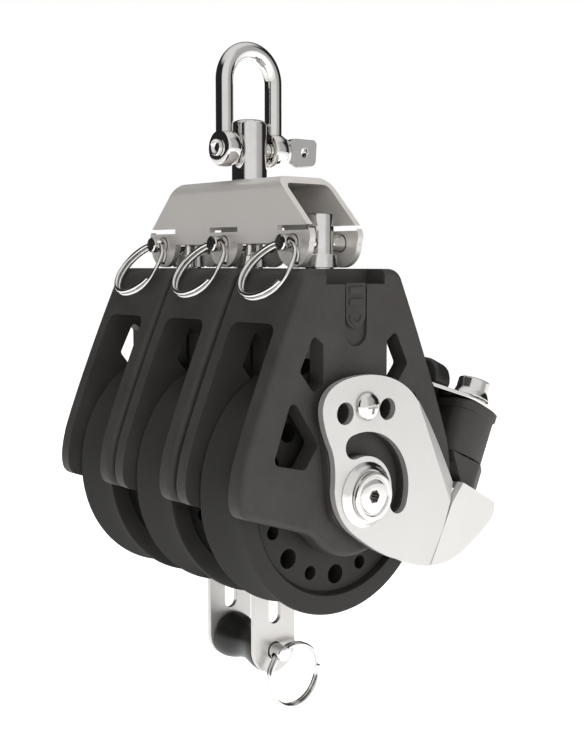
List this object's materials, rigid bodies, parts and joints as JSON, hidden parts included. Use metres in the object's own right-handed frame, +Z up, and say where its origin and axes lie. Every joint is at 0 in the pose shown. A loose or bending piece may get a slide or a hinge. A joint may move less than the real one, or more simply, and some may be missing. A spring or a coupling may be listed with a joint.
{
  "type": "triple sheave block",
  "caption": "Triple sheave rope block on a swivel shackle head, with a becket below and a cam cleat on a bent side arm.",
  "frame": {"origin": "inside top of the shackle bow, the point the block hangs from", "axes": "+Z up along the hanging line, Y along the sheave axles, +X towards the cam cleat"},
  "size_m": [0.1043, 0.1037, 0.2027],
  "materials": {
    "shell_nylon": "glass-filled nylon, fine moulded grain, matte",
    "sheave_acetal": "dark acetal, semi-matte with turning marks",
    "polished_steel": "mirror polished stainless steel",
    "satin_steel": "satin stainless sheet",
    "bright_steel": "electropolished stainless sheet, soft shine",
    "ball_plastic": "white acetal balls and cage",
    "spring_steel": "drawn spring wire"
  },
  "bodies": {
    "shackle": {"shackle_bow": "polished_steel", "shackle_pin": "polished_steel"},
    "swivel": {"swivel_post": "polished_steel", "swivel_nut": "polished_steel"},
    "block": {"shell_cam_side": "shell_nylon", "load_strap_cam_side": "satin_steel", "head_post_cam_side": "polished_steel", "race_sleeve_cam_side": "satin_steel", "axle_bolt_cam_side": "polished_steel", "axle_nut_cam_side": "polished_steel", "clevis_pin_cam_side": "polished_steel", "shell_middle": "shell_nylon", "load_strap_middle": "satin_steel", "head_post_middle": "polished_steel", "race_sleeve_middle": "satin_steel", "axle_bolt_middle": "polished_steel", "axle_nut_middle": "polished_steel", "clevis_pin_middle": "polished_steel", "shell_far_side": "shell_nylon", "load_strap_far_side": "satin_steel", "head_post_far_side": "polished_steel", "race_sleeve_far_side": "satin_steel", "axle_bolt_far_side": "polished_steel", "axle_nut_far_side": "polished_steel", "clevis_pin_far_side": "polished_steel", "swivel_washer": "polished_steel", "head_bracket": "satin_steel", "becket_strap_cam_side": "bright_steel", "becket_strap_far_side": "bright_steel", "becket_pin": "polished_steel", "cam_arm": "bright_steel", "arm_pad": "shell_nylon", "arm_washer": "polished_steel", "arm_screw": "polished_steel", "cleat_base": "shell_nylon", "cleat_strap": "polished_steel", "cleat_guide": "sheave_acetal", "cam_bolt_near": "polished_steel", "cam_spring_near": "spring_steel", "base_screw_near": "polished_steel", "cam_bolt_far": "polished_steel", "cam_spring_far": "spring_steel", "base_screw_far": "polished_steel"},
    "sheave_cam_side_body": {"sheave_cam_side": "sheave_acetal"},
    "ball_cage_cam_side_body": {"ball_cage_cam_side": "ball_plastic"},
    "lock_slider_cam_side_body": {"lock_slider_cam_side": "shell_nylon"},
    "split_ring_cam_side_body": {"split_ring_cam_side": "polished_steel"},
    "sheave_middle_body": {"sheave_middle": "sheave_acetal"},
    "ball_cage_middle_body": {"ball_cage_middle": "ball_plastic"},
    "lock_slider_middle_body": {"lock_slider_middle": "shell_nylon"},
    "split_ring_middle_body": {"split_ring_middle": "polished_steel"},
    "sheave_far_side_body": {"sheave_far_side": "sheave_acetal"},
    "ball_cage_far_side_body": {"ball_cage_far_side": "ball_plastic"},
    "lock_slider_far_side_body": {"lock_slider_far_side": "shell_nylon"},
    "split_ring_far_side_body": {"split_ring_far_side": "polished_steel"},
    "becket_spool_body": {"becket_spool": "sheave_acetal"},
    "becket_ring_body": {"becket_ring": "polished_steel"},
    "cam_near_body": {"cam_near": "shell_nylon"},
    "cam_far_body": {"cam_far": "shell_nylon"}
  },
  "joints": [
    {"name": "shackle_swing", "type": "hinge", "parent": "shackle", "child": "swivel", "pos_m": [0, 0, -0.0268], "axis": [1, 0, 0], "range_deg": [-90, 90]},
    {"name": "head_swivel", "type": "hinge", "parent": "swivel", "child": "block", "pos_m": [0, 0, -0.0363], "axis": [0, 0, 1], "continuous": true},
    {"name": "sheave_spin_cam_side", "type": "hinge", "parent": "block", "child": "sheave_cam_side_body", "pos_m": [0, -0.0322, -0.1248], "axis": [0, 1, 0], "continuous": true},
    {"name": "cage_spin_cam_side", "type": "hinge", "parent": "block", "child": "ball_cage_cam_side_body", "pos_m": [0, -0.0322, -0.1248], "axis": [0, 1, 0], "continuous": true},
    {"name": "lock_slide_cam_side", "type": "slide", "parent": "block", "child": "lock_slider_cam_side_body", "axis": [0, 0, 1], "range_m": [-0.0045, 0]},
    {"name": "ring_swing_cam_side", "type": "hinge", "parent": "block", "child": "split_ring_cam_side_body", "pos_m": [-0.0126, -0.0322, -0.0553], "axis": [0, 1, 0], "range_deg": [0, 95]},
    {"name": "sheave_spin_middle", "type": "hinge", "parent": "block", "child": "sheave_middle_body", "pos_m": [0, 0, -0.1248], "axis": [0, 1, 0], "continuous": true},
    {"name": "cage_spin_middle", "type": "hinge", "parent": "block", "child": "ball_cage_middle_body", "pos_m": [0, 0, -0.1248], "axis": [0, 1, 0], "continuous": true},
    {"name": "lock_slide_middle", "type": "slide", "parent": "block", "child": "lock_slider_middle_body", "axis": [0, 0, 1], "range_m": [-0.0045, 0]},
    {"name": "ring_swing_middle", "type": "hinge", "parent": "block", "child": "split_ring_middle_body", "pos_m": [-0.0126, 0, -0.0553], "axis": [0, 1, 0], "range_deg": [0, 95]},
    {"name": "sheave_spin_far_side", "type": "hinge", "parent": "block", "child": "sheave_far_side_body", "pos_m": [0, 0.0322, -0.1248], "axis": [0, 1, 0], "continuous": true},
    {"name": "cage_spin_far_side", "type": "hinge", "parent": "block", "child": "ball_cage_far_side_body", "pos_m": [0, 0.0322, -0.1248], "axis": [0, 1, 0], "continuous": true},
    {"name": "lock_slide_far_side", "type": "slide", "parent": "block", "child": "lock_slider_far_side_body", "axis": [0, 0, 1], "range_m": [-0.0045, 0]},
    {"name": "ring_swing_far_side", "type": "hinge", "parent": "block", "child": "split_ring_far_side_body", "pos_m": [-0.0126, 0.0322, -0.0553], "axis": [0, 1, 0], "range_deg": [0, 95]},
    {"name": "becket_ring_swing", "type": "hinge", "parent": "block", "child": "becket_ring_body", "pos_m": [0, -0.0146, -0.1793], "axis": [-0.8387, 0, -0.5446], "range_deg": [0, 100]},
    {"name": "spool_spin", "type": "hinge", "parent": "block", "child": "becket_spool_body", "pos_m": [0, 0, -0.1793], "axis": [0, 1, 0], "continuous": true},
    {"name": "cam_open_near", "type": "hinge", "parent": "block", "child": "cam_near_body", "pos_m": [0.04838, -0.0426, -0.1135], "axis": [0.4067, 0, 0.9135], "range_deg": [-35, 0], "stiffness_Nm_per_rad": 0.004, "springref_deg": 22.92},
    {"name": "cam_open_far", "type": "hinge", "parent": "block", "child": "cam_far_body", "pos_m": [0.04838, -0.0218, -0.1135], "axis": [0.4067, 0, 0.9135], "range_deg": [0, 35], "stiffness_Nm_per_rad": 0.004, "springref_deg": -22.92}
  ],
  "couplings": [
    {"joint": "cage_spin_cam_side", "follows": "sheave_spin_cam_side", "ratio": 0.64467},
    {"joint": "cage_spin_middle", "follows": "sheave_spin_middle", "ratio": 0.64467},
    {"joint": "cage_spin_far_side", "follows": "sheave_spin_far_side", "ratio": 0.64467}
  ]
}
